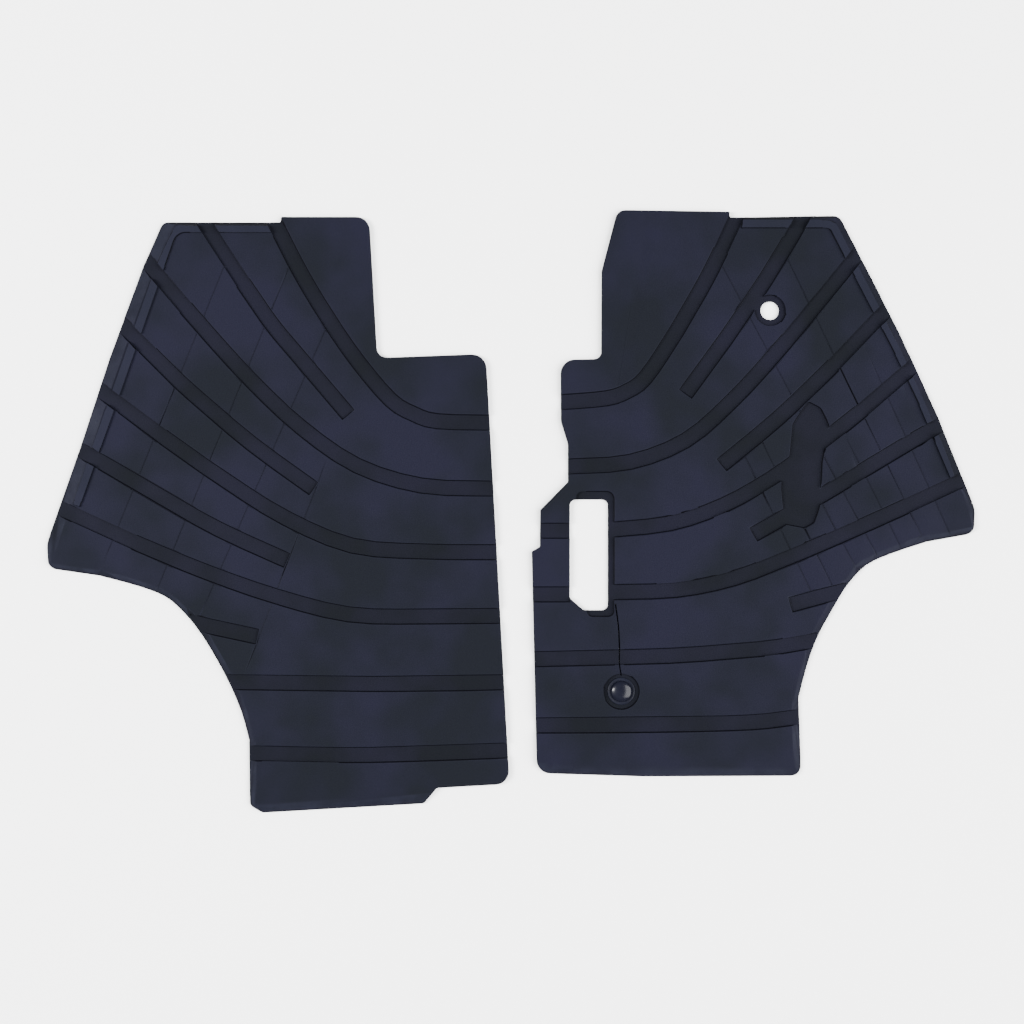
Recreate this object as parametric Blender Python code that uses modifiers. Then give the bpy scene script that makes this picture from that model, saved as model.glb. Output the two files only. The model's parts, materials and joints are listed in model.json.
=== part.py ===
"""Floor mat set for a truck cab: two moulded rubber mats and the stud that pins one of them down.

Both mats lie flat, +Z up, with the front of the cab towards +Y. A mat is a base sheet that carries
raised lands. Curved drain channels run between the lands down to the sheet, rim ribs stand along
the outer edges, and the outer margins slope down to a thin edge. The mat for the driver's side also
has a lever slot with a slit behind it, a round hole, and a pocket with a push-in fixing stud.
All sizes below are in millimetres and are turned into metres where meshes are made.
"""
import math

import bmesh
import bpy
from mathutils import Vector
from mathutils.geometry import interpolate_bezier

MM = 0.001

# Heights above the cab floor
SHEET_TOP = 4.5       # base sheet: channel floors and the mats' thin outer edge
LAND_TOP = 8.0        # walking surface
RIB_TOP = 11.0        # rim ribs along the outer edges
CLEAR = 5.0           # how far a cutter runs past the faces it cuts through

# Moulding widths
CHANNEL_WIDTH = 20.0
RIB_WIDTH = 11.0
SLIT_WIDTH = 1.6
FIT_GAP = 0.3         # left between pieces that rest on each other

# Fixing: eyelet through the mat, washer below it, push-in stud on top
STUD_CENTRE = (149.0, -243.0)
POCKET_RADIUS = 24.0
BORE_RADIUS = 9.5
WASHER_RECESS_RADIUS = 18.0
WASHER_RECESS_DEPTH = 2.0
WASHER_RADIUS = 17.0
EYELET_FLANGE_RADIUS = 18.5
EYELET_FLANGE_THICKNESS = 1.6
EYELET_BARREL_RADIUS = 9.0
EYELET_BORE_RADIUS = 6.5
STUD_HEAD_RADIUS = 14.0
STUD_HEAD_EDGE = 1.4
STUD_HEAD_TOP = 12.5
STUD_SHANK_RADIUS = 6.0
STUD_TIP_RADIUS = 4.8
STUD_TIP_HEIGHT = 0.6
BREAK_EDGE = 0.8      # chamfer on the eyelet's rim and the stud's tip
ROUND_SIDES = 48

# Round hole with its shallow pocket
HOLE_CENTRE = (350.0, 271.5)
HOLE_RADIUS = 12.5
HOLE_POCKET_RADIUS = 21.0

# Outline corners: x, y, corner radius
LEFT_OUTLINE_TOP = [
    (-471, 391, 12), (-312, 391, 1.5), (-310, 398, 2), (-192, 398, 18), (-181, 207.5, 14),
    (-34, 213, 20), (-2, -368, 18), (-100, -373.5, 4), (-118, -395, 5), (-336, -407.5, 6),
    (-353, -397, 8),
]
LEFT_SWEEP = [
    (-354, -310), (-365, -270), (-386, -222), (-418, -167), (-443, -136), (-468, -115),
    (-504, -101), (-556, -87),
]
LEFT_OUTLINE_SIDE = [
    (-625, -77, 13), (-628, -44, 30), (-587, 73, 0), (-543, 207, 0), (-496, 334, 0),
]
RIGHT_OUTLINE_TOP = [
    (144, 407.5, 14), (295, 405, 2), (296, 397.5, 1.5), (444, 400, 14), (526, 240, 0),
    (579, 124, 0), (627.7, 3, 22), (625.7, -29.5, 14),
]
RIGHT_SWEEP = [
    (562, -41), (514, -57), (480, -73), (455, -99), (437, -128), (415, -168), (401, -206),
    (389, -252),
]
RIGHT_OUTLINE_SIDE = [
    (392.5, -357.5, 14), (180, -358.5, 0), (35, -354, 19), (28, -54, 3), (39, -48, 3),
    (39.5, 2, 4), (77, 40, 4), (77, 91, 10), (67.5, 122, 12), (67, 205, 19), (122, 206, 10),
    (122.5, 325, 10),
]

# Channel centre lines; each runs from the outer side of the mat inwards
LEFT_CHANNELS = {
    "a": [(-338, 425), (-316, 384), (-284, 322), (-248, 262), (-208, 204), (-163, 151),
          (-132, 132), (-100, 122), (-30, 120), (0, 120)],
    "b": [(-428, 412), (-404, 374), (-377, 332), (-349, 290), (-320, 249), (-288, 211), (-220, 131)],
    "c": [(-510, 360), (-474, 316), (-414, 246), (-351, 177), (-284, 114), (-208, 62),
          (-121, 35), (-28, 31), (5, 31)],
    "d": [(-540, 268), (-506, 233), (-469, 196), (-431, 160), (-351, 92), (-267, 31)],
    "e": [(-590, 188), (-544, 156), (-466, 98), (-386, 42), (-304, -9), (-215, -46),
          (-119, -54), (-22, -55), (10, -55)],
    "f": [(-606, 95), (-566, 74), (-481, 24), (-395, -24), (-303, -66)],
    "g": [(-632, 15), (-595, -2), (-503, -44), (-411, -82), (-316, -115), (-219, -139),
          (-119, -142), (-19, -141), (10, -141)],
    "h": [(-436, -148), (-408, -155), (-343, -169)],
    "i": [(-395, -230), (-304, -232), (-187, -233), (-71, -232), (12, -230)],
    "j": [(-375, -326), (-226, -329), (-118, -327), (15, -322)],
}
RIGHT_CHANNELS = {
    "a": [(317, 425), (297, 382), (272, 329), (244, 278), (214, 228), (181, 180), (158, 163),
          (130, 153), (72, 148), (50, 147)],
    "b": [(401, 410), (379, 371), (358, 336), (336, 301), (290, 233), (236, 159)],
    "c": [(478, 360), (455, 331), (404, 269), (352, 207), (297, 148), (236, 96), (161, 67),
          (81, 61), (55, 60)],
    "d": [(528, 293), (495, 260), (430, 192), (361, 126), (285, 63)],
    "e": [(562, 212), (528, 183), (471, 134), (412, 88), (351, 44), (286, 8), (215, -16),
          (130, -25)],
    "f": [(595, 125), (550, 100), (478, 57), (405, 13), (328, -31)],
    "g": [(640, 57), (600, 38), (527, 4), (453, -29), (378, -61), (302, -90), (223, -106),
          (130, -109)],
    "h": [(455, -106), (426, -113), (378, -126)],
    "i": [(415, -173), (395, -177), (335, -186), (214, -195), (93, -198), (15, -200)],
    "j": [(410, -275), (378, -279), (322, -285), (207, -288), (93, -289), (15, -289)],
    "slot_e": [(20, -26), (80, -26)],
    "slot_g": [(10, -112), (80, -112)],
}

# Rim ribs: centre lines of the raised bars before the channels part them
LEFT_RIB = [(-322, 382, 0), (-455, 382, 22), (-481, 308, 0), (-530, 168, 0), (-587, 8, 0)]
RIGHT_RIB = [(311, 388, 0), (433, 388, 12), (461, 334, 0), (520, 221, 0), (553, 152, 0), (598, 47, 0)]

# Sloping margins: the edge they follow with the mat on its left, and how wide they are
LEFT_MARGINS = {
    "top": ([(-312, 391), (-520, 391)], 4),
    "side": ([(-452, 430), (-473, 384), (-496, 334), (-543, 207), (-587, 73), (-628, -44),
              (-650, -110)], 16),
    "sweep": ([(-670, -72), (-610, -79), (-556, -87), (-504, -101), (-468, -115), (-443, -136),
               (-418, -167), (-386, -222), (-365, -270), (-354, -310), (-353, -360), (-353, -440)], 10),
    "bottom": ([(-400, -411.5), (-118, -394.5), (-60, -391)], 16),
}
RIGHT_MARGINS = {
    "top": ([(500, 401), (296, 398)], 4),
    "side": ([(640, -70), (626, 3), (579, 124), (526, 240), (485, 320), (444, 400), (422, 440)], 9),
    "sweep": ([(393, -400), (389, -300), (389, -252), (401, -206), (415, -168), (437, -128), (455, -99),
               (480, -73), (514, -57), (562, -41), (618, -31), (670, -22)], 10),
    "bottom": ([(0, -353), (77, -356), (180, -358.5), (430, -357.5)], 16),
}

# Lever slot, the recess around it, and the smooth recessed patch beside it
SLOT = [(79.5, 16, 8), (131, 16, 8), (131, -133.5, 8), (98, -133.5, 3), (79.5, -117, 3)]
SLOT_RECESS = [(88, 27, 8), (139, 27, 10), (139, -141.5, 8), (106, -141.5, 6), (96, -120, 4), (88, -60, 0)]
PATCH = [
    (381, 118, 5), (401, 149, 5), (418, 140, 6), (430, 116, 8), (420, 66, 6), (417, 7, 6),
    (409, -15, 5), (397, -22, 4), (370, -17, 4), (365, 41, 6), (377, 76, 6),
]
SLIT = [(141, -125), (145, -155), (146.5, -185), (146.5, -206), (149, -222)]

RUBBER_COLOUR = (0.016, 0.019, 0.032, 1.0)
PLASTIC_COLOUR = (0.012, 0.013, 0.018, 1.0)


def clear_scene():
    """Remove every object, so that the script gives the same result each run."""
    for item in list(bpy.data.objects):
        bpy.data.objects.remove(item)


def new_collection(name, parent=None):
    """Add a collection to the scene, or to a parent collection, and return it."""
    collection = bpy.data.collections.new(name)
    (parent or bpy.context.scene.collection).children.link(collection)
    return collection


def finish(name, colour, roughness):
    """A plain Principled material."""
    material = bpy.data.materials.new(name)
    material.use_nodes = True
    shader = material.node_tree.nodes["Principled BSDF"]
    shader.inputs["Base Color"].default_value = colour
    shader.inputs["Roughness"].default_value = roughness
    shader.inputs["Metallic"].default_value = 0.0
    return material


def rounded(corners, arc_step=15.0):
    """Corners (x, y, radius) to outline points, with each rounded corner as an arc."""
    points = []
    for index, (x, y, radius) in enumerate(corners):
        corner = Vector((x, y))
        if radius == 0:
            points.append(corner)
            continue
        before = (Vector(corners[index - 1][:2]) - corner).normalized()
        after = (Vector(corners[(index + 1) % len(corners)][:2]) - corner).normalized()
        half_angle = before.angle(after) / 2
        start = corner + before * radius / math.tan(half_angle)
        end = corner + after * radius / math.tan(half_angle)
        centre = corner + (before + after).normalized() * radius / math.sin(half_angle)
        turn = (start - centre).angle_signed(end - centre)
        steps = max(1, round(abs(math.degrees(turn)) / arc_step))
        from_angle = math.atan2(start.y - centre.y, start.x - centre.x)
        for step in range(steps + 1):
            angle = from_angle - turn * step / steps
            points.append(centre + radius * Vector((math.cos(angle), math.sin(angle))))
    return points


def smooth_path(points, steps=3):
    """A smooth open curve through the points, with this many steps between two of them."""
    knots = [Vector((x, y, 0.0)) for x, y in points]
    path = [knots[0]]
    for index in range(len(knots) - 1):
        start, end = knots[index], knots[index + 1]
        before = knots[max(index - 1, 0)]
        after = knots[min(index + 2, len(knots) - 1)]
        path += interpolate_bezier(start, start + (end - before) / 6, end - (after - start) / 6,
                                   end, steps + 1)[1:]
    return [point.to_2d() for point in path]


def sweep(points):
    """A smooth stretch of outline, as corners with no radius."""
    return [(point.x, point.y, 0) for point in smooth_path(points)]


def curve_object(name, points, closed, low, high, collection):
    """A flat curve at mid height, extruded down to low and up to high."""
    curve = bpy.data.curves.new(name, "CURVE")
    curve.dimensions = "2D"
    curve.fill_mode = "BOTH" if closed else "NONE"
    curve.extrude = (high - low) / 2 * MM
    spline = curve.splines.new("POLY")
    spline.points.add(len(points) - 1)
    for place, point in zip(spline.points, points):
        place.co = (point[0] * MM, point[1] * MM, 0.0, 1.0)
    spline.use_cyclic_u = closed
    item = bpy.data.objects.new(name, curve)
    item.location.z = (low + high) / 2 * MM
    collection.objects.link(item)
    return item


def as_mesh(item, collection):
    """Replace a curve by a mesh object with welded faces that point outwards."""
    bpy.context.view_layer.update()
    evaluated = item.evaluated_get(bpy.context.evaluated_depsgraph_get())
    mesh = bpy.data.meshes.new_from_object(evaluated)
    solid = bpy.data.objects.new(item.name, mesh)
    solid.matrix_world = item.matrix_world
    name = item.name
    bpy.data.objects.remove(item)
    solid.name = name
    collection.objects.link(solid)
    shape = bmesh.new()
    shape.from_mesh(mesh)
    bmesh.ops.remove_doubles(shape, verts=shape.verts, dist=0.00001)
    bmesh.ops.recalc_face_normals(shape, faces=shape.faces)
    shape.to_mesh(mesh)
    shape.free()
    return solid


def plate(name, outline, low, high, collection):
    """A flat solid with this outline."""
    return as_mesh(curve_object(name, outline, True, low, high, collection), collection)


def strip(name, path, width, low, high, collection):
    """A solid of constant width that follows an open path."""
    wall = curve_object(name, path, False, low, high, collection)
    thickness = wall.modifiers.new("width", "SOLIDIFY")
    thickness.thickness = width * MM
    thickness.offset = 0.0
    thickness.use_even_offset = True
    return as_mesh(wall, collection)


def margin_wedge(name, path, width, collection):
    """The block above a sloping margin: it leaves a slope from the land down to the outer edge."""
    slope = (LAND_TOP - SHEET_TOP) / width
    inside, outside = width + 1.0, 6.0
    profile = curve_object(name + "_profile", [
        (-inside, SHEET_TOP + slope * inside), (outside, SHEET_TOP - slope * outside),
        (outside, RIB_TOP + CLEAR), (-inside, RIB_TOP + CLEAR)], True, 0, 0, collection)
    edge = curve_object(name, path, False, 0, 0, collection)
    edge.data.dimensions = "3D"
    edge.data.fill_mode = "FULL"
    edge.data.twist_mode = "Z_UP"
    edge.data.bevel_mode = "OBJECT"
    edge.data.bevel_object = profile
    edge.data.use_fill_caps = True
    wedge = as_mesh(edge, collection)
    bpy.data.objects.remove(profile)
    shape = bmesh.new()
    shape.from_mesh(wedge.data)
    bmesh.ops.triangulate(shape, faces=shape.faces)
    shape.to_mesh(wedge.data)
    shape.free()
    return wedge


def disc(name, centre, radius, low, high, collection):
    """An upright cylinder."""
    mesh = bpy.data.meshes.new(name)
    shape = bmesh.new()
    bmesh.ops.create_cone(shape, cap_ends=True, segments=ROUND_SIDES, radius1=radius * MM,
                          radius2=radius * MM, depth=(high - low) * MM)
    shape.to_mesh(mesh)
    shape.free()
    item = bpy.data.objects.new(name, mesh)
    item.location = (centre[0] * MM, centre[1] * MM, (low + high) / 2 * MM)
    collection.objects.link(item)
    return item


def turned(name, profile, centre, material, collection):
    """A round piece from a profile (radius, height) that runs down its outer side."""
    mesh = bpy.data.meshes.new(name)
    shape = bmesh.new()
    corners = [shape.verts.new((radius * MM, 0.0, height * MM)) for radius, height in profile]
    for first, second in zip(corners, corners[1:]):
        shape.edges.new((first, second))
    shape.to_mesh(mesh)
    shape.free()
    item = bpy.data.objects.new(name, mesh)
    item.location = (centre[0] * MM, centre[1] * MM, 0.0)
    collection.objects.link(item)
    screw = item.modifiers.new("turn", "SCREW")
    screw.steps = ROUND_SIDES
    screw.render_steps = ROUND_SIDES
    screw.use_merge_vertices = True
    screw.merge_threshold = 0.00005
    mesh.materials.append(material)
    return item


def join(target, tool):
    """Add the tool's solid to the target with the exact solver."""
    step = target.modifiers.new(tool.name, "BOOLEAN")
    step.operation = "UNION"
    step.solver = "EXACT"
    step.object = tool


def cut(target, cutters):
    """Take every cutter in a collection away from the target in one exact step."""
    step = target.modifiers.new(cutters.name, "BOOLEAN")
    step.operation = "DIFFERENCE"
    step.solver = "EXACT"
    step.operand_type = "COLLECTION"
    step.collection = cutters


def relief(side, margins, channels, cutters):
    """Cutters for the sloping margins and for the channels that part the lands and the ribs."""
    for name, (path, width) in margins.items():
        margin_wedge(f"{side}_margin_{name}", smooth_path(path, 2), width, cutters)
    for name, line in channels.items():
        strip(f"{side}_channel_{name}", smooth_path(line), CHANNEL_WIDTH,
              SHEET_TOP, RIB_TOP + CLEAR, cutters)


def left_mat(parts, tools, rubber):
    """The mat with the long straight inner side."""
    outline = rounded(LEFT_OUTLINE_TOP + sweep(LEFT_SWEEP) + LEFT_OUTLINE_SIDE)
    mat = plate("left_mat", outline, 0.0, LAND_TOP, parts)
    cutters = new_collection("left_mat_cutters", tools)
    join(mat, strip("left_rib", rounded(LEFT_RIB), RIB_WIDTH, SHEET_TOP / 2, RIB_TOP, tools))
    relief("left", LEFT_MARGINS, LEFT_CHANNELS, cutters)
    cut(mat, cutters)
    mat.data.materials.append(rubber)


def right_mat(parts, tools, rubber):
    """The mat with the lever slot, the round hole and the pocket for the fixing stud."""
    outline = rounded(RIGHT_OUTLINE_TOP + sweep(RIGHT_SWEEP) + RIGHT_OUTLINE_SIDE)
    mat = plate("right_mat", outline, 0.0, LAND_TOP, parts)
    cutters = new_collection("right_mat_cutters", tools)
    join(mat, strip("right_rib", rounded(RIGHT_RIB), RIB_WIDTH, SHEET_TOP / 2, RIB_TOP, tools))
    relief("right", RIGHT_MARGINS, RIGHT_CHANNELS, cutters)
    top = RIB_TOP + CLEAR
    plate("cut_patch", rounded(PATCH), SHEET_TOP, top, cutters)
    plate("cut_slot_recess", rounded(SLOT_RECESS), SHEET_TOP, top, cutters)
    plate("cut_slot", rounded(SLOT), -CLEAR, top, cutters)
    disc("cut_hole_pocket", HOLE_CENTRE, HOLE_POCKET_RADIUS, SHEET_TOP, top, cutters)
    disc("cut_hole", HOLE_CENTRE, HOLE_RADIUS, -CLEAR, top, cutters)
    disc("cut_stud_pocket", STUD_CENTRE, POCKET_RADIUS, SHEET_TOP, top, cutters)
    disc("cut_stud_bore", STUD_CENTRE, BORE_RADIUS, -CLEAR, top, cutters)
    disc("cut_washer_recess", STUD_CENTRE, WASHER_RECESS_RADIUS, -CLEAR, WASHER_RECESS_DEPTH, cutters)
    strip("cut_slit", smooth_path(SLIT), SLIT_WIDTH, -CLEAR, top, cutters)
    cut(mat, cutters)
    mat.data.materials.append(rubber)


def fixing(parts, satin, glossy):
    """Eyelet and washer clamped round the bore, and the stud that is pushed through them."""
    flange_low = SHEET_TOP + FIT_GAP
    flange_top = flange_low + EYELET_FLANGE_THICKNESS
    turned("eyelet", [
        (EYELET_BORE_RADIUS, flange_top), (EYELET_FLANGE_RADIUS - BREAK_EDGE, flange_top),
        (EYELET_FLANGE_RADIUS, flange_top - BREAK_EDGE), (EYELET_FLANGE_RADIUS, flange_low),
        (EYELET_BARREL_RADIUS, flange_low), (EYELET_BARREL_RADIUS, FIT_GAP),
        (EYELET_BORE_RADIUS, FIT_GAP), (EYELET_BORE_RADIUS, flange_top),
    ], STUD_CENTRE, satin, parts)
    washer_inner = EYELET_BARREL_RADIUS + FIT_GAP
    washer_top = WASHER_RECESS_DEPTH - FIT_GAP
    turned("eyelet_washer", [
        (washer_inner, washer_top), (WASHER_RADIUS, washer_top), (WASHER_RADIUS, FIT_GAP),
        (washer_inner, FIT_GAP), (washer_inner, washer_top),
    ], STUD_CENTRE, satin, parts)
    head_low = flange_top + FIT_GAP
    dome_low = head_low + STUD_HEAD_EDGE
    dome_height = STUD_HEAD_TOP - dome_low
    dome = [(0.0, STUD_HEAD_TOP)]
    for degrees in range(75, -1, -15):
        angle = math.radians(degrees)
        dome.append((STUD_HEAD_RADIUS * math.cos(angle), dome_low + dome_height * math.sin(angle)))
    turned("fixing_stud", dome + [
        (STUD_HEAD_RADIUS, head_low), (STUD_SHANK_RADIUS, head_low),
        (STUD_SHANK_RADIUS, STUD_TIP_HEIGHT + BREAK_EDGE), (STUD_TIP_RADIUS, STUD_TIP_HEIGHT),
        (0.0, STUD_TIP_HEIGHT),
    ], STUD_CENTRE, glossy, parts)


def as_guides(tools):
    """Show the cutters as wires and keep them out of renders."""
    for item in tools.all_objects:
        item.hide_render = True
        item.display_type = "WIRE"


def shade_round(parts):
    """Smooth shading with sharp edges kept on every part."""
    for item in parts.objects:
        item.data.shade_smooth()
        item.data.set_sharp_from_angle(angle=math.radians(35))


def main():
    clear_scene()
    parts = new_collection("floor_mat_set")
    tools = new_collection("cutters")
    rubber = finish("moulded_rubber", RUBBER_COLOUR, 0.75)
    satin = finish("satin_plastic", PLASTIC_COLOUR, 0.45)
    glossy = finish("glossy_plastic", PLASTIC_COLOUR, 0.15)
    left_mat(parts, tools, rubber)
    right_mat(parts, tools, rubber)
    fixing(parts, satin, glossy)
    as_guides(tools)
    shade_round(parts)


main()
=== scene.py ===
# %% [markdown]
# # A floor mat set for a truck cab
# Two moulded rubber mats lie flat on the floor of a cab. Each is a thin sheet with raised lands to
# walk on, curved drain channels between the lands, ribs along the rim, and margins that slope down
# to a thin edge. A push-in stud pins the right mat through an eyelet.
# The frame is the plain, exact model. This script keeps every place and size from it, and adds what
# a mould and daily use give the real thing: rounded edges, fine grooves, grain, dust and wear.

# %% Load the frame
import json
import math

import bmesh
import bpy
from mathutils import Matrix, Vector
from mathutils.bvhtree import BVHTree
from mathutils.geometry import closest_point_on_tri, intersect_point_line
from mathutils.kdtree import KDTree

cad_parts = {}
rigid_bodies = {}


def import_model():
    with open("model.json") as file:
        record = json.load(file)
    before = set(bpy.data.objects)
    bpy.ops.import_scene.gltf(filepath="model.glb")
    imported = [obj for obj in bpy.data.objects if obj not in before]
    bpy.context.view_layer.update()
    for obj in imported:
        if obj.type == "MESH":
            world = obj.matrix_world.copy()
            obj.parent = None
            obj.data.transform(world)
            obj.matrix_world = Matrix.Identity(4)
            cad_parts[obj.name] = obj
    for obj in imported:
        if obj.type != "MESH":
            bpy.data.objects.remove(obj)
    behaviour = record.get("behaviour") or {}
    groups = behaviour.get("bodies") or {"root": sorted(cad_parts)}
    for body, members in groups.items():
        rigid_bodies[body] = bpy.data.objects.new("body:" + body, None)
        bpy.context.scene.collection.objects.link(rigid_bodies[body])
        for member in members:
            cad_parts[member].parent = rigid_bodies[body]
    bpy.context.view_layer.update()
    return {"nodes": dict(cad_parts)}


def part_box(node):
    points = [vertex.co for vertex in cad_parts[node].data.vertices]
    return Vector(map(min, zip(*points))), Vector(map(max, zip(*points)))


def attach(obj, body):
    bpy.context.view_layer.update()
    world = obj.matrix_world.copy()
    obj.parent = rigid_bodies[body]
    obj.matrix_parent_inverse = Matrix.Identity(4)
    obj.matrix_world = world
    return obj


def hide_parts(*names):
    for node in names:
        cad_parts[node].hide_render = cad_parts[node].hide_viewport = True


for item in list(bpy.data.objects):
    bpy.data.objects.remove(item)
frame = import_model()
MM = 0.001

# %% [markdown]
# ## The levels of the mould
# A moulded mat is a stack of a few flat levels: the channel floors, the lands and the tops of the
# ribs. The sizes could be typed in again, but measuring them on the frame keeps this script true to
# it. A level is a height at which the mat has a lot of area that faces up.

# %% Measure the levels
LEVEL_AREA = 0.001    # square metres


def level_heights(node):
    """Heights at which a node has a large area that faces straight up, lowest first."""
    areas = {}
    for face in frame["nodes"][node].data.polygons:
        if face.normal.z > 0.999:
            height = round(face.center.z, 5)
            areas[height] = areas.get(height, 0.0) + face.area
    return sorted(height for height, area in areas.items() if area > LEVEL_AREA)


SHEET_TOP, LAND_TOP, RIB_TOP = level_heights("left_mat")
WALL_HEIGHT = LAND_TOP - SHEET_TOP
print("sheet, land and rib tops in mm:", [round(z / MM, 2) for z in (SHEET_TOP, LAND_TOP, RIB_TOP)])

# %% [markdown]
# ## Rounded edges
# A steel mould is milled with round cutters, and rubber has to come out of it, so no edge of a real
# mat is sharp: the lands roll over into the channels, and the channel floors meet the walls in a
# small fillet. A hand-placed bevel on thousands of edges isn't possible, and one bevel of the same
# size everywhere would close the channels where they run out to nothing at the rim. So each edge
# gets its own width, worked out from the two faces that it joins, and one Bevel modifier reads those
# widths as weights.

# %% Copy a mat and clean it
WELD = 0.005 * MM
SHORTEST_EDGE = 0.3 * MM
FLAT_ANGLE = math.radians(1.0)


def new_piece(name, shape):
    """Make an object from a bmesh, and free the bmesh."""
    mesh = bpy.data.meshes.new(name)
    shape.to_mesh(mesh)
    shape.free()
    piece = bpy.data.objects.new(name, mesh)
    bpy.context.scene.collection.objects.link(piece)
    return piece


def merge_in_plan(shape, distance):
    """Bring corners that are close together in plan to one place, so that walls stay upright."""
    tree = KDTree(len(shape.verts))
    for index, vert in enumerate(shape.verts):
        tree.insert((vert.co.x, vert.co.y, 0.0), index)
    tree.balance()
    shape.verts.ensure_lookup_table()
    placed = set()
    for index, vert in enumerate(shape.verts):
        if index in placed:
            continue
        for _, other, _ in tree.find_range((vert.co.x, vert.co.y, 0.0), distance):
            if other not in placed:
                placed.add(other)
                shape.verts[other].co.xy = vert.co.xy
    bmesh.ops.remove_doubles(shape, verts=shape.verts, dist=distance / 4)


def welded_copy(node):
    """A frame node's shape as one bmesh with large flat faces and few tiny edges."""
    shape = bmesh.new()
    shape.from_mesh(frame["nodes"][node].data)
    bmesh.ops.remove_doubles(shape, verts=shape.verts, dist=WELD)
    bmesh.ops.dissolve_limit(shape, angle_limit=FLAT_ANGLE, verts=shape.verts, edges=shape.edges)
    for vert in shape.verts:
        for level in (SHEET_TOP, LAND_TOP, RIB_TOP):
            if abs(vert.co.z - level) < SHORTEST_EDGE / 2:
                vert.co.z = level
    merge_in_plan(shape, SHORTEST_EDGE)
    bmesh.ops.dissolve_degenerate(shape, edges=shape.edges, dist=WELD)
    loose = [edge for edge in shape.edges if not edge.link_faces]
    bmesh.ops.delete(shape, geom=loose, context="EDGES")
    bmesh.ops.dissolve_limit(shape, angle_limit=FLAT_ANGLE, verts=shape.verts, edges=shape.edges)
    for face in shape.faces:
        face.material_index = 0
    print(node, "open edges", sum(len(edge.link_faces) != 2 for edge in shape.edges))
    return shape


# %% [markdown]
# ## How wide each kind of edge is rounded
# The upper edges of the lands are rounded most. The fillets at the foot of a wall are smaller, the
# underside's edge is nearly sharp, and a cut made with a knife is hardly rounded at all. The widths
# are estimates, chosen so that a channel still keeps a flat floor.

# %% Choose the widths
LAND_ROUNDING = 2.0 * MM
FLOOR_FILLET = 1.2 * MM
RIM_ROUNDING = 1.3 * MM
RIB_ROUNDING = 1.4 * MM
RIB_FILLET = 0.8 * MM
UNDER_ROUNDING = 0.6 * MM
KNIFE_ROUNDING = 0.25 * MM
SHARP = math.radians(25)
NEAR = 0.05 * MM
ASIDE = 0.5 * MM
BROAD = 5.0 * MM
SLIT_GAP = 3.0 * MM
STUB = 6.0 * MM
TIGHT = 2.5 * MM
TRIES = 8
LAST_TRIES = 3
NARROWED = 0.75
UNROUNDED = 0.0
UP = Vector((0.0, 0.0, 1.0))
print("roundings in mm:", [round(width / MM, 2) for width in (LAND_ROUNDING, RIM_ROUNDING, RIB_ROUNDING)])


# %% Tell faces and steps apart
def face_kind(face):
    """Level, under, wall or slope, from where a face points."""
    if face.normal.z > 0.999:
        return "level"
    if face.normal.z < -0.999:
        return "under"
    return "wall" if abs(face.normal.z) < 0.1 else "slope"


def middle(edge):
    """The middle of an edge."""
    return (edge.verts[0].co + edge.verts[1].co) / 2


def step_height(point, wall, tree):
    """How high the mat stands just behind a wall, above a point at the wall's foot."""
    above = point - wall.normal * ASIDE + UP * RIB_TOP
    hit = tree.ray_cast(above, -UP, 2 * RIB_TOP)[0]
    return hit.z - point.z if hit else 0.0


# %% [markdown]
# ## Walls that fade out
# Towards the rim a channel's wall gets lower as the margin slopes down, so its rounding has to get
# narrower with it. A width belongs to a whole edge, so such edges are first cut into short ones.

# %% Cut the edges that fade out
def fading_edges(shape, tree):
    """Edges at the head or the foot of a channel wall that gets lower towards the rim."""
    found = []
    for edge in shape.edges:
        kinds = [face_kind(face) for face in edge.link_faces]
        if kinds.count("wall") != 1 or edge.calc_length() < 4 * SHORTEST_EDGE:
            continue
        wall = edge.link_faces[kinds.index("wall")]
        if min(vert.co.z for vert in wall.verts) < SHEET_TOP / 2:
            continue
        if "slope" in kinds:
            found.append(edge)
        elif middle(edge).z < SHEET_TOP + NEAR and not edge.is_convex:
            centre = middle(edge)
            ends = [vert.co.lerp(centre, 0.05) for vert in edge.verts]
            if min(step_height(end, wall, tree) for end in ends) < 0.95 * WALL_HEIGHT:
                found.append(edge)
    return found


def split_edge(edge, pieces):
    """Put new corners along an edge, at even steps."""
    start, end = edge.verts
    for left in range(pieces, 1, -1):
        first, corner = bmesh.utils.edge_split(edge, start, 1.0 / left)
        edge = next(other for other in corner.link_edges if end in other.verts)
        start = corner


# %% [markdown]
# ## Room for the roundings
# Two roundings that meet on a short edge or on a narrow wall would run into each other. A width is
# first limited by probing how deep the rubber goes behind the wall, and then narrowed wherever the
# two corners of an edge would use up more than its length. Short ends are split off long edges, so
# that a tight corner narrows mostly what is close to it.

# %% Work out each edge's width
def reach(corner, widths, ahead):
    """How far a rounded corner of a face eats into the edge ahead of it, or into the one behind."""
    angle = corner.calc_angle()
    if not corner.is_convex or angle > math.radians(178):
        return 0.0
    own, other = corner.edge, corner.link_loop_prev.edge
    if not ahead:
        own, other = other, own
    return max(0.0, (widths[other] + widths[own] * math.cos(angle)) / math.sin(angle))


def relax(shape, widths):
    """Narrow the roundings where the corners at the two ends of a short edge would meet."""
    for _ in range(30):
        crowded = 0
        for face in shape.faces:
            if face_kind(face) == "wall":
                continue
            for loop in face.loops:
                after = loop.link_loop_next
                used = reach(loop, widths, True) + reach(after, widths, False)
                if used > 0.95 * loop.edge.calc_length():
                    crowded += 1
                    for edge in (loop.link_loop_prev.edge, loop.edge, after.edge):
                        widths[edge] *= 0.85
        if crowded == 0:
            break
    return crowded


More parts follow.
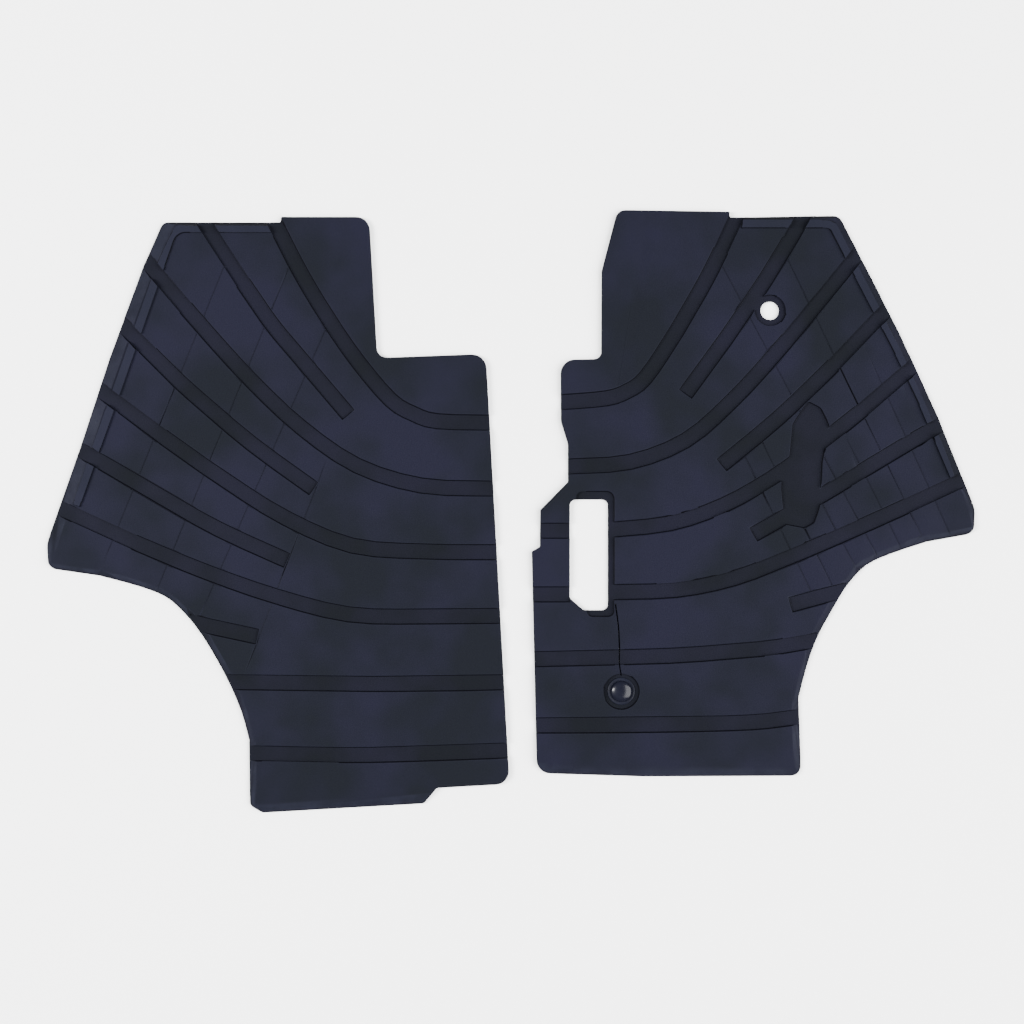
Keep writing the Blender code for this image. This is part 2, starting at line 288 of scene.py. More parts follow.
def room_behind(edge, wall, tree):
    """How far back from a wall's upper edge the mat goes before it drops again."""
    room = BROAD
    for share in (0.08, 0.3, 0.5, 0.7, 0.92):
        point = edge.verts[0].co.lerp(edge.verts[1].co, share) - wall.normal * NEAR
        for depth in (ASIDE, 2 * ASIDE):
            distance = tree.ray_cast(point - UP * depth, -wall.normal, BROAD)[3]
            room = min(room, distance or BROAD)
    return room


def edge_rounding(edge, tree):
    """How wide an edge of a mat is rounded, in metres."""
    kinds = [face_kind(face) for face in edge.link_faces]
    if edge.calc_face_angle(0.0) < SHARP or kinds.count("wall") != 1:
        return 0.0
    wall = edge.link_faces[kinds.index("wall")]
    facing = tree.ray_cast(wall.calc_center_median() + wall.normal * NEAR, wall.normal, SLIT_GAP)
    if "under" in kinds:
        return UNDER_ROUNDING if facing[0] is None else 0.0
    height = middle(edge).z
    if not edge.is_convex:
        if height > LAND_TOP - NEAR:
            return RIB_FILLET
        return min(FLOOR_FILLET, 0.35 * step_height(middle(edge), wall, tree))
    width = min(LAND_ROUNDING, 0.55 * (height - SHEET_TOP))
    if min(vert.co.z for vert in wall.verts) < SHEET_TOP / 2:
        width = RIM_ROUNDING if facing[0] is None else KNIFE_ROUNDING
    elif height > LAND_TOP + NEAR:
        width = RIB_ROUNDING if height > RIB_TOP - NEAR else 0.0
    return min(width, 0.4 * room_behind(edge, wall, tree))


def in_line(edge, start, end, length):
    """Whether an edge at end lies on the straight line from start, on either side of end."""
    far = edge.other_vert(end).co
    return far == start.co or (far - start.co).cross(end.co - start.co).length < WELD * length


def with_stubs(shape):
    """Split short ends off long edges, so that a tight corner narrows mostly what is close to it."""
    for edge in list(shape.edges):
        kinds = [face_kind(face) for face in edge.link_faces]
        if kinds.count("wall") == 1 and edge.calc_length() > 3 * STUB:
            start, end = edge.verts
            length = edge.calc_length()
            bmesh.utils.edge_split(edge, start, STUB / length)
            rest = next(other for other in end.link_edges if in_line(other, start, end, length))
            bmesh.utils.edge_split(rest, end, STUB / rest.calc_length())


# %% [markdown]
# ## Tight corners
# Even so, the rounded mesh runs through itself at some tight corners. Those places are searched for,
# and the rounding around them is narrowed over several rounds and left out in the last ones. Most of
# the crossings go, not all, and a rounded length can end in a small jog where it meets a sharp one.

# %% Find the tight corners
def crossings(mesh):
    """Places where a mesh runs through itself or folds over."""
    mesh.calc_loop_triangles()
    corners = [vert.co for vert in mesh.vertices]
    tris = [(tri.area, tuple(tri.vertices)) for tri in mesh.loop_triangles]
    tree = BVHTree.FromPolygons(corners, [verts for _, verts in tris])
    spots = {tuple(round(value / MM) for value in tri.center) for tri in mesh.loop_triangles
             if tri.area > NEAR ** 2 and tri.normal.dot(mesh.polygons[tri.polygon_index].normal) < 0}
    for pair in tree.overlap(tree):
        (_, small), (_, large) = sorted(tris[index] for index in pair)
        if set(small) & set(large):
            continue
        large = [corners[index] for index in large]
        for index in range(3):
            start, end = corners[small[index - 1]], corners[small[index]]
            for share in (0.0, 0.25, 0.5, 0.75):
                point = start.lerp(end, share)
                if (closest_point_on_tri(point, *large) - point).length < 4 * NEAR:
                    spots.add(tuple(round(value / MM) for value in point))
    return [Vector(spot) * MM for spot in spots]


# %% Round the two mats and narrow the tight corners
def close_slit(shape, tree):
    """Bring the lower edges of a narrow cut together, as rubber does, and leave the cut open on top."""
    moves = {}
    for face in shape.faces:
        if face_kind(face) == "wall" and min(vert.co.z for vert in face.verts) < NEAR:
            centre = face.calc_center_median()
            gap = tree.ray_cast(centre + face.normal * NEAR, face.normal, SLIT_GAP)[3]
            if gap is not None and gap < 2 * MM:
                for vert in face.verts:
                    if vert.co.z < NEAR:
                        moves.setdefault(vert, []).append(face.normal * (gap - NEAR / 5) / 2)
    for vert, steps in moves.items():
        vert.co += sum(steps, Vector()) / len(steps)


def rounded_mat(node, name):
    """The mat from the frame with every edge rounded by its own width."""
    shape = welded_copy(node)
    weights = shape.edges.layers.float.new("bevel_weight_edge")
    tree = BVHTree.FromBMesh(shape)
    for edge in fading_edges(shape, tree):
        split_edge(edge, max(2, round(edge.calc_length() / (3 * MM))))
    with_stubs(shape)
    widths = {edge: edge_rounding(edge, tree) for edge in shape.edges}
    print(name, "crowded corners left:", relax(shape, widths))
    for edge, width in widths.items():
        edge[weights] = width / LAND_ROUNDING
    close_slit(shape, tree)
    piece = new_piece(name, shape)
    rounding = piece.modifiers.new("rounded edges", "BEVEL")
    rounding.limit_method = "WEIGHT"
    rounding.width = LAND_ROUNDING
    rounding.segments = 3
    rounding.use_clamp_overlap = False
    return piece


def narrow_where_tight(piece):
    """Narrow the rounding near every place where the rounded mesh runs through itself."""
    weights = piece.data.attributes["bevel_weight_edge"].data
    ends = [[piece.data.vertices[index].co for index in edge.vertices] for edge in piece.data.edges]
    for round_number in range(TRIES):
        piece.update_tag()
        evaluated = piece.evaluated_get(bpy.context.evaluated_depsgraph_get())
        spots = crossings(evaluated.to_mesh())
        evaluated.to_mesh_clear()
        print(piece.name, "tight spots", len(spots))
        if round_number < TRIES - LAST_TRIES:
            share, radius = NARROWED, TIGHT
        else:
            share, radius = UNROUNDED, 2 * TIGHT
        for weight, (start, end) in zip(weights, ends):
            if weight.value > 0 and any(distance_to_edge(spot, start, end) < radius for spot in spots):
                weight.value *= share


def distance_to_edge(point, start, end):
    """How far a point is from the nearest point of an edge."""
    share = max(0.0, min(1.0, intersect_point_line(point, start, end)[1]))
    return (start.lerp(end, share) - point).length


left_rubber = rounded_mat("left_mat", "left_mat_rubber")
right_rubber = rounded_mat("right_mat", "right_mat_rubber")
narrow_where_tight(left_rubber)
narrow_where_tight(right_rubber)
print("edges in the cleaned mats:", len(left_rubber.data.edges), len(right_rubber.data.edges))

# %% [markdown]
# ## Fine grooves across the lands
# Long straight narrow grooves, as in a tyre tread, cross the lands and give a wet shoe some grip.
# They could be drawn with a bump texture, but a groove that a finger can feel should be in the mesh,
# or it vanishes from the side. A Boolean with a V-shaped cutter would make them too. Pressing them is
# lighter: the flat lands are bisected along the groove's two edges and its middle, and the new corners
# in the middle move down.

# %% Press a line into the lands
GROOVE_WIDTH = 3.2 * MM
GROOVE_DEPTH = 2.3 * MM
OVERRUN = 4.0 * MM
MARGIN_AREA = 300.0 * MM ** 2
CREASE_WIDTH = 30.0 * MM
CREASE_DEPTH = 0.6 * MM
CREASE_STEPS = 10
GROOVE = [(-GROOVE_WIDTH / 2, 0.0), (0.0, GROOVE_DEPTH), (GROOVE_WIDTH / 2, 0.0)]
CREASE = [(CREASE_WIDTH * (step / CREASE_STEPS - 0.5),
           CREASE_DEPTH * math.sin(math.pi * step / CREASE_STEPS) ** 2) for step in range(CREASE_STEPS + 1)]


def is_land(face):
    """Whether a face is part of a land's top or of a sloping margin."""
    if face_kind(face) == "level":
        return abs(face.calc_center_median().z - LAND_TOP) < NEAR
    return face_kind(face) == "slope" and face.normal.z > 0.8 and face.calc_area() > MARGIN_AREA


def press_line(shape, line, section):
    """Sink a section (aside, depth) into every land that a straight line (start, end) crosses."""
    start, end = [Vector((x * MM, y * MM, LAND_TOP)) for x, y in line]
    along = (end - start).normalized()
    aside = along.cross(UP)
    length = (end - start).length
    widest = max(across for across, _ in section)

    def bisect(faces, point, normal):
        parts = {item for face in faces for item in (face, *face.edges, *face.verts)}
        bmesh.ops.bisect_plane(shape, geom=list(parts), dist=NEAR / 10, plane_co=point, plane_no=normal)

    for across, _ in section:
        bisect([face for face in shape.faces if is_land(face)], start + aside * across, aside)
    for stop in (start - along * OVERRUN, end + along * OVERRUN):
        strip = [face for face in shape.faces if face.normal.z > 0.8 and all(
            abs(aside.dot(vert.co - start)) < widest + NEAR for vert in face.verts)]
        bisect(strip, stop, along)
    touched = {vert for face in shape.faces if is_land(face) for vert in face.verts}
    for vert in touched:
        ahead, across = along.dot(vert.co - start), aside.dot(vert.co - start)
        for place, depth in section:
            if abs(across - place) < NEAR / 5 and NEAR - OVERRUN < ahead < length + OVERRUN - NEAR:
                vert.co.z -= min(depth, 0.3 * vert.co.z)


# %% Where the lines run
LEFT_ROWS = [((-388, 330), (-550, -68)), ((-302, 325), (-478, -105)), ((-251, 245), (-422, -145)),
             ((-250, 67), (-356, -210))]
RIGHT_ROWS = [((478, 222), (593, -30)), ((374, 340), (556, -35)), ((453, 100), (530, -55)),
              ((282, 338), (495, -60)), ((418, 16), (468, -80)), ((340, 92), (440, -112)),
              ((315, 77), (410, -117))]
FLAP_CREASE = ((189, 412), (148, 150))


def pressed_mat(piece, rows, creases=()):
    """Apply the rounding, then press rows of grooves and soft creases into the lands."""
    evaluated = piece.evaluated_get(bpy.context.evaluated_depsgraph_get())
    shape = bmesh.new()
    shape.from_mesh(evaluated.to_mesh())
    for row in rows:
        press_line(shape, row, GROOVE)
    for crease in creases:
        press_line(shape, crease, CREASE)
    piece.modifiers.clear()
    shape.to_mesh(piece.data)
    shape.free()


pressed_mat(left_rubber, LEFT_ROWS)
pressed_mat(right_rubber, RIGHT_ROWS, [FLAP_CREASE])
print("faces after the grooves:", len(left_rubber.data.polygons), len(right_rubber.data.polygons))

# %% [markdown]
# ## Shading
# The narrow roundings are shaded smooth and the walls keep a crisp edge. On a long flat face, one bad
# corner normal would smear a shadow over the whole face, so a flat face whose corners don't all point
# up is shaded flat.

# %% Shade the rubber
def shade_rubber(piece):
    """Smooth roundings, crisp edges, and level faces that stay plainly level."""
    piece.data.shade_smooth()
    piece.data.set_sharp_from_angle(angle=math.radians(38))
    even = piece.modifiers.new("even shading", "WEIGHTED_NORMAL")
    even.keep_sharp = True
    shown = piece.evaluated_get(bpy.context.evaluated_depsgraph_get()).to_mesh()
    normals = [corner.vector.z for corner in shown.corner_normals]
    smeared = [face.index for face in shown.polygons
               if face.normal.z > 0.999 and min(normals[loop] for loop in face.loop_indices) < 0.985]
    for index in smeared:
        piece.data.polygons[index].use_smooth = False
    print(piece.name, "faces shaded flat:", len(smeared))


shade_rubber(left_rubber)
shade_rubber(right_rubber)

# %% [markdown]
# ## Turned pieces of the fixing
# The eyelet, its backing washer and the push-in stud are small plastic mouldings, round about one
# upright axis. A cylinder with a hole would give their size but none of their shape. Drawing half of
# the cross-section and spinning it makes the beads of the eyelet and the low dome of the stud's head,
# and keeps every ring of faces even. Radii and heights come from the frame's own pieces.

# %% Spin a section
SPIN_STEPS = 96


def rings(node, axis):
    """The rings of corners of a round frame node, as sorted (radius, height) pairs."""
    found = set()
    for vert in frame["nodes"][node].data.vertices:
        radius = math.hypot(vert.co.x - axis.x, vert.co.y - axis.y)
        found.add((round(radius, 5), round(vert.co.z, 5)))
    return sorted(found)


def turned(name, section, axis, edge_width, closed):
    """Spin a section of (radius, height) corners around an upright axis, and round its edges."""
    shape = bmesh.new()
    corners = [shape.verts.new((axis.x + radius, axis.y, height)) for radius, height in section]
    lines = [shape.edges.new(pair) for pair in zip(corners, corners[1:])]
    if closed:
        lines.append(shape.edges.new((corners[-1], corners[0])))
    bmesh.ops.spin(shape, geom=corners + lines, cent=axis, axis=UP, angle=2 * math.pi,
                   steps=SPIN_STEPS, use_merge=True)
    bmesh.ops.remove_doubles(shape, verts=shape.verts, dist=WELD)
    bmesh.ops.recalc_face_normals(shape, faces=shape.faces)
    sharp = [edge for edge in shape.edges if edge.calc_face_angle(0.0) > math.radians(35)]
    bmesh.ops.bevel(shape, geom=sharp, offset=edge_width, affect="EDGES", segments=3, profile=0.5,
                    material=-1, clamp_overlap=True)
    open_edges = sum(len(edge.link_faces) != 2 for edge in shape.edges)
    print(name, "faces", len(shape.faces), "open edges", open_edges)
    piece = new_piece(name, shape)
    piece.data.shade_smooth()
    piece.data.set_sharp_from_angle(angle=math.radians(40))
    return piece


stud_low, stud_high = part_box("fixing_stud")
stud_axis = Vector(((stud_low[0] + stud_high[0]) / 2, (stud_low[1] + stud_high[1]) / 2, 0.0))
EYELET_RINGS = rings("eyelet", stud_axis)
WASHER_RINGS = rings("eyelet_washer", stud_axis)
STUD_RINGS = rings("fixing_stud", stud_axis)
print("stud axis in mm", [round(value / MM, 2) for value in stud_axis.xy])
print("rings", EYELET_RINGS, WASHER_RINGS, STUD_RINGS)

# %% [markdown]
# ## Eyelet and washer
# The eyelet is a flanged bush: its barrel goes down through the rubber, and its flange bears on the
# mat around the hole. A bead runs round the flange's rim and a second one round the bore, with a
# shallow trough between them, which is how such a thin ring is kept stiff and flat in the mould.

# %% Make the eyelet and its washer
BEAD_WIDTH = 1.8 * MM
TROUGH_DEPTH = 0.5 * MM
bore = EYELET_RINGS[0][0]
barrel = next(radius for radius, _ in EYELET_RINGS if radius > bore + MM)
flange = EYELET_RINGS[-1][0]
eyelet_low, eyelet_high = [corner[2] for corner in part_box("eyelet")]
flange_low = min(height for radius, height in EYELET_RINGS if radius == flange)
trough = eyelet_high - TROUGH_DEPTH
eyelet_section = [
    (bore, eyelet_low), (barrel, eyelet_low), (barrel, flange_low), (flange, flange_low),
    (flange, trough), (flange - BEAD_WIDTH / 2, eyelet_high),
    (flange - BEAD_WIDTH, trough), (barrel + BEAD_WIDTH, trough), (barrel, eyelet_high), (bore, eyelet_high)]
flange_eyelet = turned("flange_eyelet", eyelet_section, stud_axis, 0.3 * MM, closed=True)
washer_low, washer_high = [corner[2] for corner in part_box("eyelet_washer")]
washer_inner = WASHER_RINGS[0][0]
washer_outer = WASHER_RINGS[-1][0]
washer_section = [(washer_inner, washer_low), (washer_outer, washer_low), (washer_outer, washer_high),
                  (washer_inner, washer_high)]
backing_washer = turned("backing_washer", washer_section, stud_axis, 0.25 * MM, closed=True)

# %% [markdown]
# ## Push-in stud
# A thumb presses the head, so it is a low smooth dome that rolls over into a short upright rim. The
# shank below it ends in a chamfer that finds the bore. The dome is worked out from the head's radius
# and height, so it stays round if the frame's stud changes.

# %% Make the stud
RIM_ROLL = 1.6 * MM
head_radius = stud_high[0] - stud_axis.x
head_low = min(height for radius, height in STUD_RINGS if radius > 0.95 * head_radius)
shank = [radius for radius, height in STUD_RINGS if abs(height - head_low) < NEAR][0]
tip_radius, tip_low = [ring for ring in STUD_RINGS if abs(ring[1] - stud_low[2]) < NEAR][-1]
dome_height = stud_high[2] - head_low - RIM_ROLL
dome = [(head_radius * math.sin(math.radians(turn)) ** 0.85,
         head_low + RIM_ROLL + dome_height * math.cos(math.radians(turn))) for turn in range(0, 91, 6)]
stud_section = dome + [
    (head_radius, head_low), (shank, head_low), (shank, tip_low + (shank - tip_radius)),
    (tip_radius, tip_low), (0.0, tip_low)]
push_stud = turned("push_stud", stud_section, stud_axis, 0.35 * MM, closed=False)

# %% [markdown]
# ## Node groups for the finishes
# The same three effects are seen on every surface of the set: a fine grain from the mould, cloudy
# patches of dust that a dry cloth leaves, and edges rubbed a little paler. Each is one node group with
# named inputs, so that a finish is made by placing the groups and giving them its own values. The edge
# group also gives a mask for steep walls, which the rubber uses for painted shade. The pattern follows
# Object coordinates: every piece has its origin at the set's own centre, so nothing stretches and no
# unwrapping is needed.

# %% Tools for building node groups
def start_group(name, inputs, outputs):
    """A new shader node group with float inputs (name, value) and outputs (name, kind)."""
    group = bpy.data.node_groups.new(name, "ShaderNodeTree")
    for label, value in inputs:
        socket = group.interface.new_socket(label, in_out="INPUT", socket_type="NodeSocketFloat")
        socket.default_value = value
    for label in outputs:
        group.interface.new_socket(label, in_out="OUTPUT", socket_type="NodeSocketFloat")
    return group, group.nodes.new("NodeGroupInput"), group.nodes.new("NodeGroupOutput")


def math_node(tree, operation, first, second, clamp=False):
    """A Math node whose two inputs are sockets or numbers. Returns its output socket."""
    node = tree.nodes.new("ShaderNodeMath")
    node.operation = operation
    node.use_clamp = clamp
    for socket, value in zip(node.inputs, (first, second)):
        if isinstance(value, (int, float)):
            socket.default_value = value
        else:
            tree.links.new(value, socket)
    return node.outputs["Value"]


def noise(tree, scale, detail, roughness=0.5):
    """A Noise Texture on Object coordinates, whose scale is a number or a socket."""
    place = tree.nodes.new("ShaderNodeTexCoord")
    node = tree.nodes.new("ShaderNodeTexNoise")
    node.inputs["Detail"].default_value = detail
    node.inputs["Roughness"].default_value = roughness
    tree.links.new(place.outputs["Object"], node.inputs["Vector"])
    if isinstance(scale, (int, float)):
        node.inputs["Scale"].default_value = scale
    else:
        tree.links.new(scale, node.inputs["Scale"])
    return node.outputs["Fac"]


def remap(tree, value, low, high, to_low=0.0, to_high=1.0):
    """Stretch a range of values smoothly onto another."""
    node = tree.nodes.new("ShaderNodeMapRange")
    node.interpolation_type = "SMOOTHSTEP"
    for label, number in zip(("From Min", "From Max", "To Min", "To Max"), (low, high, to_low, to_high)):
        node.inputs[label].default_value = number
    tree.links.new(value, node.inputs["Value"])
    return node.outputs["Result"]


# %% Group for the mould's grain
def make_grain_group():
    """Fine pits and bumps: a coarse noise for the skin of the mould, and a finer one on top."""
    group, given, result = start_group("mould grain", [("Scale", 900.0), ("Fine Share", 0.35)], ["Height"])
    coarse = noise(group, given.outputs["Scale"], 2.0)
    fine_scale = math_node(group, "MULTIPLY", given.outputs["Scale"], 3.1)
    fine = math_node(group, "MULTIPLY", noise(group, fine_scale, 1.0), given.outputs["Fine Share"])
    group.links.new(math_node(group, "ADD", coarse, fine), result.inputs["Height"])
    return group


# %% Group for the dust
def make_dust_group():
    """Soft clouds of dust: large patches, broken up by smaller ones, each as a mask from 0 to 1."""
    inputs = [("Scale", 3.0), ("Contrast", 1.0)]
    group, given, result = start_group("dust clouds", inputs, ["Cloud", "Speckle"])
    wide = noise(group, given.outputs["Scale"], 3.0, 0.55)
    centred = math_node(group, "SUBTRACT", wide, 0.5)
    steepness = math_node(group, "MULTIPLY", given.outputs["Contrast"], 3.0)
    spread = math_node(group, "MULTIPLY", centred, steepness)
    group.links.new(math_node(group, "ADD", spread, 0.5, clamp=True), result.inputs["Cloud"])
    fine_scale = math_node(group, "MULTIPLY", given.outputs["Scale"], 60.0)
    speckle = remap(group, noise(group, fine_scale, 2.0, 0.7), 0.56, 0.72)
    group.links.new(speckle, result.inputs["Speckle"])
    return group


# %% Group for rubbed edges and painted wall shade
def make_wear_and_wall_shade_group():
    """Masks for where the surface rolls over from level to steep, broken up by noise, and for steep walls
    that get painted shade.
    """
    inputs = [("Scale", 40.0), ("Amount", 1.0)]
    group, given, result = start_group("rubbed edges and wall shade", inputs, ["Mask", "Wall"])
    surface = group.nodes.new("ShaderNodeNewGeometry")
    split = group.nodes.new("ShaderNodeSeparateXYZ")
    group.links.new(surface.outputs["Normal"], split.inputs["Vector"])
    tilt = split.outputs["Z"]
    not_steep = remap(group, tilt, 0.93, 0.97)
    not_level = remap(group, tilt, 0.998, 0.985)
    rolled = math_node(group, "MULTIPLY", not_steep, not_level)
    patches = remap(group, noise(group, given.outputs["Scale"], 3.0, 0.6), 0.3, 0.7, 0.35, 1.0)
    worn = math_node(group, "MULTIPLY", rolled, patches)
    mask = math_node(group, "MULTIPLY", worn, given.outputs["Amount"], clamp=True)
    group.links.new(mask, result.inputs["Mask"])
    # The Wall mask marks steep faces, which the rubber paints dark as painted shade.
    group.links.new(remap(group, tilt, 0.97, 0.62), result.inputs["Wall"])
    return group


GRAIN = make_grain_group()
DUST = make_dust_group()
WEAR_AND_WALL_SHADE = make_wear_and_wall_shade_group()
print("node groups:", [group.name for group in bpy.data.node_groups])

# %% Tools for building a finish
def place_group(tree, group, **values):
    """Put a group in a material and give its inputs, named with _ for a space, their values."""
    node = tree.nodes.new("ShaderNodeGroup")
    node.node_tree = group
    for label, value in values.items():
        node.inputs[label.replace("_", " ")].default_value = value
    return node


def blend_colour(tree, share, first, second):
    """Mix two colours, each a socket or (r, g, b), by a socket from 0 to 1."""
    node = tree.nodes.new("ShaderNodeMix")
    node.data_type = "RGBA"
    tree.links.new(share, node.inputs["Factor"])
    for socket, colour in zip((node.inputs[6], node.inputs[7]), (first, second)):
        if isinstance(colour, tuple):
            socket.default_value = (*colour, 1.0)
        else:
            tree.links.new(colour, socket)
    return node.outputs[2]


def start_finish(name, specular):
    """A new material with node tree and Principled shader."""
    material = bpy.data.materials.new(name)
    material.use_nodes = True
    shader = material.node_tree.nodes["Principled BSDF"]
    shader.inputs["Specular IOR Level"].default_value = specular
    return material, material.node_tree, shader


def bump(tree, shader, height, distance):
    """Feed a height into the shader's normal, as a relief of the given depth."""
    node = tree.nodes.new("ShaderNodeBump")
    node.inputs["Strength"].default_value = 1.0
    node.inputs["Distance"].default_value = distance
    tree.links.new(height, node.inputs["Height"])
    tree.links.new(node.outputs["Normal"], shader.inputs["Normal"])


# %% [markdown]
# ## Moulded rubber
# The rubber is a dark blue-grey with a matt skin. It is never one even colour: large soft clouds drift
# between a bluish and a slightly greenish tone, and the rounded edges are a little paler where shoes
# have rubbed them. On top of that, painted shade darkens the channel floors and, much more, the steep
# walls, and a painted highlight makes the rib tops paler. The channel floors are told from the lands by
# height alone, so no second material is needed.

# %% Make the rubber
BLUE_RUBBER = (0.0036, 0.0036, 0.0088)
GREEN_RUBBER = (0.0028, 0.0034, 0.0054)
# Paler rubber, for edges rubbed by shoes and for the painted highlight on the rib tops.
RUBBED_AND_LIT_RUBBER = (0.0062, 0.0068, 0.0125)
# Painted shade: the channel floors and the steep walls are painted darker by these shares of the rubber's
# colour.
CHANNEL_SHADE = 0.72
WALL_SHADE = 0.22


def moulded_rubber():
    """Matt dark rubber with clouds, painted shade on channel floors and walls, a painted highlight on rib
    tops, edges rubbed paler and a fine grain.
    """
    material, tree, shader = start_finish("moulded rubber", 0.05)
    dust = place_group(tree, DUST, Scale=6.5, Contrast=1.5)
    wear_and_wall_shade = place_group(tree, WEAR_AND_WALL_SHADE, Scale=35.0, Amount=0.75)
    grain = place_group(tree, GRAIN, Scale=650.0, Fine_Share=0.4)
    colour = blend_colour(tree, dust.outputs["Cloud"], GREEN_RUBBER, BLUE_RUBBER)
    # Painted shade: a darker copy of the rubber for the channel floors, blended in below the lands' height.
    channel_shade_colour = blend_colour(tree, dust.outputs["Cloud"], *(
        tuple(value * CHANNEL_SHADE for value in tone) for tone in (GREEN_RUBBER, BLUE_RUBBER)))
    place = tree.nodes.new("ShaderNodeTexCoord")
    split = tree.nodes.new("ShaderNodeSeparateXYZ")
    tree.links.new(place.outputs["Object"], split.inputs["Vector"])
    raised = remap(tree, split.outputs["Z"], SHEET_TOP, LAND_TOP)
    colour = blend_colour(tree, raised, channel_shade_colour, colour)
    # Painted highlight: the rib tops are painted paler by height above the lands; the rounded edges are
    # paler where rubbed.
    rubbed_and_painted_highlight = math_node(tree, "MAXIMUM", wear_and_wall_shade.outputs["Mask"],
                        remap(tree, split.outputs["Z"], LAND_TOP, RIB_TOP, 0.0, 0.45))
    colour = blend_colour(tree, rubbed_and_painted_highlight, colour, RUBBED_AND_LIT_RUBBER)
    # Painted shade: steep walls are painted a much darker copy of the rubber.
    painted_wall_shade_colour = tuple(value * WALL_SHADE for value in BLUE_RUBBER)
    colour = blend_colour(tree, wear_and_wall_shade.outputs["Wall"], colour, painted_wall_shade_colour)
    tree.links.new(colour, shader.inputs["Base Color"])
    speckled = math_node(tree, "MULTIPLY", dust.outputs["Speckle"], 0.08)
    roughness = math_node(tree, "ADD", remap(tree, dust.outputs["Cloud"], 0.0, 1.0, 0.78, 0.66), speckled)
    polish = math_node(tree, "MULTIPLY", wear_and_wall_shade.outputs["Mask"], 0.12)
    roughness = math_node(tree, "SUBTRACT", roughness, polish)
    tree.links.new(roughness, shader.inputs["Roughness"])
    bump(tree, shader, grain.outputs["Height"], 0.3 * MM)
    return material


RUBBER = moulded_rubber()

# %% [markdown]
# ## Plastics of the fixing
# The eyelet and washer are a hard black plastic with the satin skin of a spark-eroded mould. The stud
# is the same plastic from a polished mould, handled every time the mat comes out, so it is glossy with
# faint smears. Both come from one function, since only their roughness, grain and colour differ.

# %% Make the plastics
def hard_plastic(name, specular, colour, rubbed, gloss, smeared, grain_depth):
    """A black moulded plastic. gloss and smeared are its roughness where clean and where smeared."""
    material, tree, shader = start_finish(name, specular)
    dust = place_group(tree, DUST, Scale=28.0, Contrast=1.2)
    wear_and_wall_shade = place_group(tree, WEAR_AND_WALL_SHADE, Scale=220.0, Amount=0.5)
    grain = place_group(tree, GRAIN, Scale=1500.0, Fine_Share=0.3)
    base = blend_colour(tree, dust.outputs["Cloud"], colour, tuple(value * 1.25 for value in colour))
    tree.links.new(blend_colour(tree, wear_and_wall_shade.outputs["Mask"], base, rubbed), shader.inputs["Base Color"])
    tree.links.new(remap(tree, dust.outputs["Cloud"], 0.2, 0.9, gloss, smeared), shader.inputs["Roughness"])
    bump(tree, shader, grain.outputs["Height"], grain_depth)
    return material


SATIN_PLASTIC = hard_plastic("satin plastic", 0.06, (0.0030, 0.0034, 0.0070), (0.0060, 0.0065, 0.0110),
                             0.42, 0.55, 0.04 * MM)
GLOSSY_PLASTIC = hard_plastic("glossy plastic", 0.14, (0.0026, 0.0028, 0.0060), (0.0045, 0.0048, 0.0085),
                              0.20, 0.30, 0.005 * MM)

# %% Give each piece its finish, its body and its place in the frame
PIECES = [(left_rubber, "left_mat", "left_mat", "moulded_rubber", RUBBER),
          (right_rubber, "right_mat", "right_mat", "moulded_rubber", RUBBER),
          (flange_eyelet, "eyelet", "right_mat", "satin_plastic", SATIN_PLASTIC),
          (backing_washer, "eyelet_washer", "right_mat", "satin_plastic", SATIN_PLASTIC),
          (push_stud, "fixing_stud", "fixing_stud", "glossy_plastic", GLOSSY_PLASTIC)]
for piece, node, body, slot, material in PIECES:
    piece.data.materials.clear()
    piece.data.materials.append(material)
    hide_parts(node)
    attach(piece, body)
print("pieces:", [piece.name for piece, *_ in PIECES])

# %% [markdown]
# ## Floor, light and camera
# The mats are almost black and lie flat, so light from straight above would only mirror in them as a
# grey veil. Two soft lights stand at the sides instead, about halfway up the sky: a large panel on the
# right and a narrow window on the left. The mats' rounded edges catch them while the flat lands stay
# deep, and an even pale sky fills the rest.

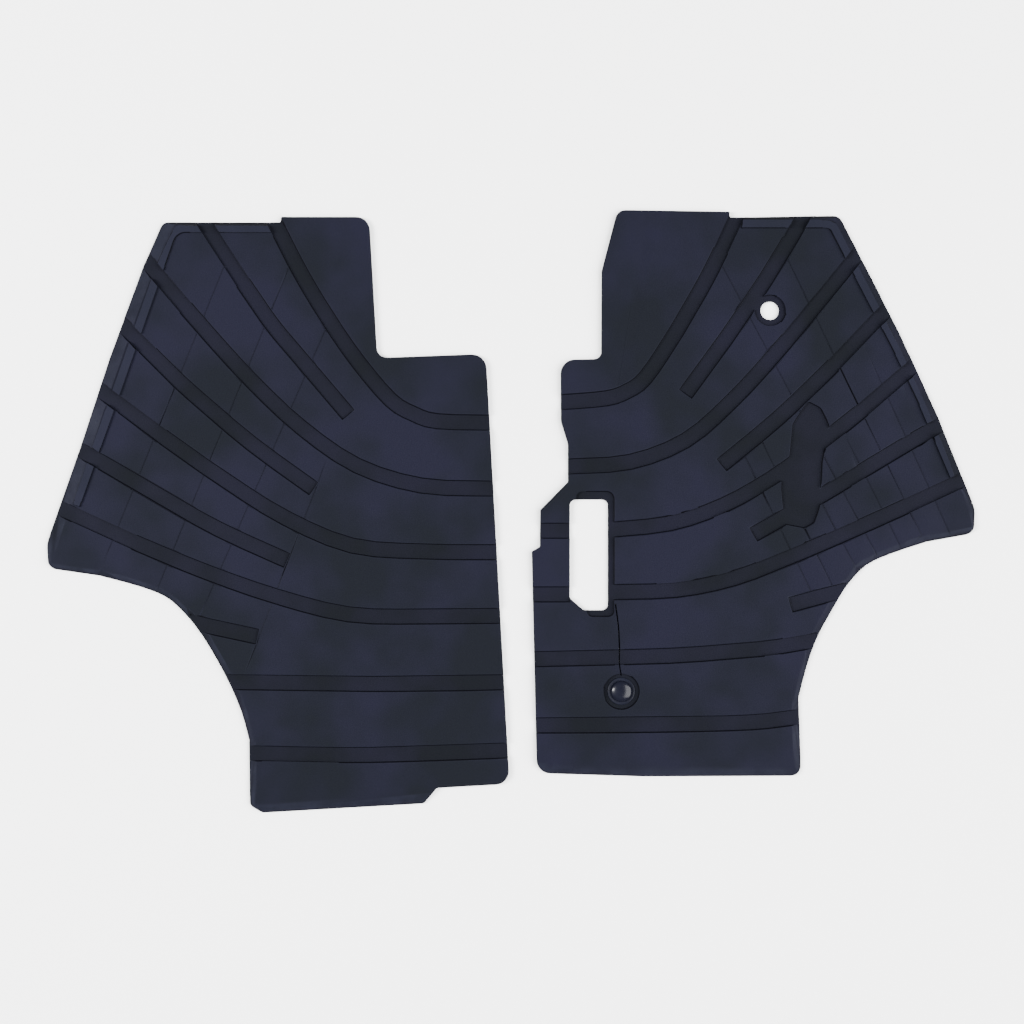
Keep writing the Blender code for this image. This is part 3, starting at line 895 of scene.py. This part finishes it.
# %% Lay the floor
FLOOR_SIZE = 40.0
FLOOR_COLOUR = (0.93, 0.93, 0.93, 1.0)
floor_shape = bmesh.new()
bmesh.ops.create_grid(floor_shape, x_segments=1, y_segments=1, size=FLOOR_SIZE / 2)
floor = new_piece("studio_floor", floor_shape)
floor_paint = bpy.data.materials.new("studio floor")
floor_paint.use_nodes = True
floor_shader = floor_paint.node_tree.nodes["Principled BSDF"]
floor_shader.inputs["Base Color"].default_value = FLOOR_COLOUR
floor_shader.inputs["Roughness"].default_value = 0.95
floor_shader.inputs["Specular IOR Level"].default_value = 0.0
floor.data.materials.append(floor_paint)

# %% Set the lights
def soft_panel(name, place, width, height, power):
    """A large light that faces the middle of the set."""
    light = bpy.data.lights.new(name, "AREA")
    light.shape = "RECTANGLE"
    light.size = width
    light.size_y = height
    light.energy = power
    panel = bpy.data.objects.new(name, light)
    bpy.context.scene.collection.objects.link(panel)
    panel.location = place
    panel.rotation_euler = Vector(place).to_track_quat("Z", "Y").to_euler()


soft_panel("right panel", place=(3.8, -0.6, 3.6), width=5.6, height=5.6, power=1500.0)
soft_panel("left window", place=(-3.2, 0.2, 3.2), width=0.8, height=2.6, power=700.0)
SKY_COLOUR = (0.95, 0.97, 1.0, 1.0)
SKY_STRENGTH = 0.7
world = bpy.data.worlds.new("studio")
world.use_nodes = True
sky = world.node_tree.nodes["Background"]
sky.inputs["Color"].default_value = SKY_COLOUR
sky.inputs["Strength"].default_value = SKY_STRENGTH
bpy.context.scene.world = world

# %% Place the camera
LENS = 60.0
SENSOR = 36.0
VIEW_WIDTH = 1.3824
VIEW_CENTRE = (1.35 * MM, -0.68 * MM)
lens = bpy.data.cameras.new("camera")
lens.lens = LENS
lens.sensor_width = SENSOR
camera = bpy.data.objects.new("camera", lens)
camera.location = (*VIEW_CENTRE, LAND_TOP + VIEW_WIDTH * LENS / SENSOR)
bpy.context.scene.collection.objects.link(camera)
bpy.context.scene.camera = camera
print("camera height in m:", round(camera.location.z, 3))
